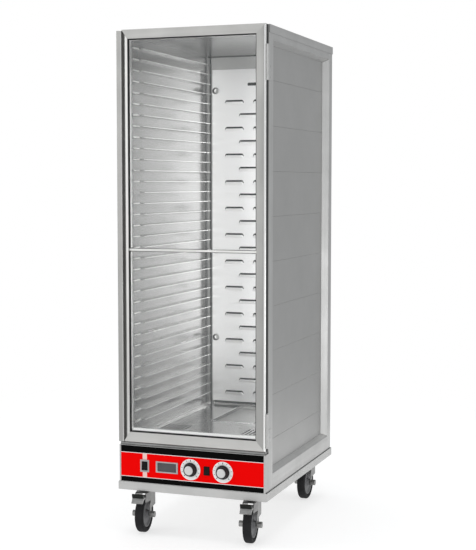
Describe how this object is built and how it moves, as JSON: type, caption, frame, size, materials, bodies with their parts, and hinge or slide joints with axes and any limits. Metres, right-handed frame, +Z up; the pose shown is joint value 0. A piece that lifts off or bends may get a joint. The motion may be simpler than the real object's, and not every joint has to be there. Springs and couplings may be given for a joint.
{
  "type": "proofing cabinet",
  "caption": "Tall mobile heated proofing cabinet with clear hinged door, louvred air duct, pan ledges, control panel and casters.",
  "frame": {"origin": "on the floor, under the middle of the cabinet's box", "axes": "+X right, -Y door side, +Z up"},
  "size_m": [0.5494, 0.8226, 1.735],
  "materials": {
    "frame_aluminium": "satin mill finish",
    "door_aluminium": "satin anodised",
    "sheet_aluminium": "fine brushed",
    "stainless": "brushed",
    "zinc_steel": "bright zinc plated",
    "pedal_steel": "plated and worn",
    "clear_glazing": "clear polycarbonate",
    "black_seal": "matte",
    "tyre_rubber": "matte dark grey",
    "grey_hub": "moulded grey",
    "black_plastic": "moulded black",
    "red_fascia": "printed red, black and white",
    "display_window": "smoked window"
  },
  "bodies": {
    "cabinet": {"base_tray": "frame_aluminium", "post_front_left": "frame_aluminium", "post_front_right": "frame_aluminium", "post_rear_left": "frame_aluminium", "post_rear_right": "frame_aluminium", "roof_cap": "frame_aluminium", "ceiling_panel": "sheet_aluminium", "side_rails": "frame_aluminium", "cross_rails": "frame_aluminium", "rear_panel": "sheet_aluminium", "wall_planks": "sheet_aluminium", "pan_ledges": "sheet_aluminium", "pan_stops": "sheet_aluminium", "duct_panel": "sheet_aluminium", "deck_panel": "sheet_aluminium", "control_box": "frame_aluminium", "fascia_panel": "red_fascia", "panel_bezels": "black_plastic", "display_lens": "display_window", "dial_controls": "black_plastic", "heater_element": "stainless", "blower_housing": "stainless", "blower_motor": "black_plastic", "power_inlet": "black_plastic", "frame_hinge_leaves": "zinc_steel", "caster_plates": "zinc_steel", "fasteners": "zinc_steel"},
    "door": {"door_rail_top": "door_aluminium", "door_rail_bottom": "door_aluminium", "door_stile_left": "door_aluminium", "door_stile_right": "door_aluminium", "door_grip": "door_aluminium", "door_crossbar": "door_aluminium", "pane_upper": "clear_glazing", "pane_lower": "clear_glazing", "glazing_seals": "black_seal", "glazing_bead": "door_aluminium", "door_gasket": "black_seal", "door_hinge_leaves": "zinc_steel"},
    "front_left_fork": {"caster_fork_front_left": "zinc_steel"},
    "front_left_wheel": {"caster_hub_front_left": "grey_hub", "caster_tyre_front_left": "tyre_rubber"},
    "front_left_brake": {"brake_pedal_front_left": "pedal_steel"},
    "front_right_fork": {"caster_fork_front_right": "zinc_steel"},
    "front_right_wheel": {"caster_hub_front_right": "grey_hub", "caster_tyre_front_right": "tyre_rubber"},
    "front_right_brake": {"brake_pedal_front_right": "pedal_steel"},
    "rear_left_fork": {"caster_fork_rear_left": "zinc_steel"},
    "rear_left_wheel": {"caster_hub_rear_left": "grey_hub", "caster_tyre_rear_left": "tyre_rubber"},
    "rear_right_fork": {"caster_fork_rear_right": "zinc_steel"},
    "rear_right_wheel": {"caster_hub_rear_right": "grey_hub", "caster_tyre_rear_right": "tyre_rubber"},
    "heat_dial": {"knob_heat": "black_plastic"},
    "humidity_dial": {"knob_humidity": "black_plastic"},
    "mode_switch": {"rocker_mode": "black_plastic"},
    "power_switch": {"rocker_power": "black_plastic"},
    "pan": {"water_pan": "stainless"},
    "pan_lid": {"water_pan_lid": "stainless"},
    "impeller": {"blower_wheel": "stainless"}
  },
  "joints": [
    {"name": "door_hinge", "type": "hinge", "parent": "cabinet", "child": "door", "pos_m": [0.2726, -0.373, 1], "axis": [0, 0, 1], "range_deg": [0, 180]},
    {"name": "front_left_swivel", "type": "hinge", "parent": "cabinet", "child": "front_left_fork", "pos_m": [-0.198, -0.298, 0.147], "axis": [0, 0, 1], "continuous": true},
    {"name": "front_left_roll", "type": "hinge", "parent": "front_left_fork", "child": "front_left_wheel", "pos_m": [-0.19403, -0.33579, 0.0635], "axis": [0.9945, 0.1045, 0], "continuous": true},
    {"name": "front_left_brake_tilt", "type": "hinge", "parent": "front_left_fork", "child": "front_left_brake", "pos_m": [-0.19089, -0.36563, 0.132], "axis": [0.9945, 0.1045, 0], "range_deg": [0, 8]},
    {"name": "front_right_swivel", "type": "hinge", "parent": "cabinet", "child": "front_right_fork", "pos_m": [0.198, -0.298, 0.147], "axis": [0, 0, 1], "continuous": true},
    {"name": "front_right_roll", "type": "hinge", "parent": "front_right_fork", "child": "front_right_wheel", "pos_m": [0.20197, -0.33579, 0.0635], "axis": [0.9945, 0.1045, 0], "continuous": true},
    {"name": "front_right_brake_tilt", "type": "hinge", "parent": "front_right_fork", "child": "front_right_brake", "pos_m": [0.20511, -0.36563, 0.132], "axis": [0.9945, 0.1045, 0], "range_deg": [0, 8]},
    {"name": "rear_left_swivel", "type": "hinge", "parent": "cabinet", "child": "rear_left_fork", "pos_m": [-0.198, 0.341, 0.147], "axis": [0, 0, 1], "continuous": true},
    {"name": "rear_left_roll", "type": "hinge", "parent": "rear_left_fork", "child": "rear_left_wheel", "pos_m": [-0.198, 0.303, 0.0635], "axis": [1, 0, 0], "continuous": true},
    {"name": "rear_right_swivel", "type": "hinge", "parent": "cabinet", "child": "rear_right_fork", "pos_m": [0.198, 0.341, 0.147], "axis": [0, 0, 1], "continuous": true},
    {"name": "rear_right_roll", "type": "hinge", "parent": "rear_right_fork", "child": "rear_right_wheel", "pos_m": [0.198, 0.303, 0.0635], "axis": [1, 0, 0], "continuous": true},
    {"name": "heat_turn", "type": "hinge", "parent": "cabinet", "child": "heat_dial", "pos_m": [-0.002, -0.3755, 0.243], "axis": [0, 1, 0], "range_deg": [0, 270]},
    {"name": "humidity_turn", "type": "hinge", "parent": "cabinet", "child": "humidity_dial", "pos_m": [0.116, -0.3755, 0.243], "axis": [0, 1, 0], "range_deg": [0, 270]},
    {"name": "mode_rock", "type": "hinge", "parent": "cabinet", "child": "mode_switch", "pos_m": [0.0575, -0.3745, 0.243], "axis": [1, 0, 0], "range_deg": [0, 16]},
    {"name": "power_rock", "type": "hinge", "parent": "cabinet", "child": "power_switch", "pos_m": [-0.172, -0.3745, 0.243], "axis": [1, 0, 0], "range_deg": [0, 16]},
    {"name": "pan_lift", "type": "slide", "parent": "cabinet", "child": "pan", "axis": [0, 0, 1], "range_m": [0, 0.09]},
    {"name": "lid_lift", "type": "slide", "parent": "pan", "child": "pan_lid", "axis": [0, 0, 1], "range_m": [0, 0.05]},
    {"name": "impeller_spin", "type": "hinge", "parent": "cabinet", "child": "impeller", "pos_m": [0.125, 0.303, 0.25], "axis": [1, 0, 0], "continuous": true}
  ]
}
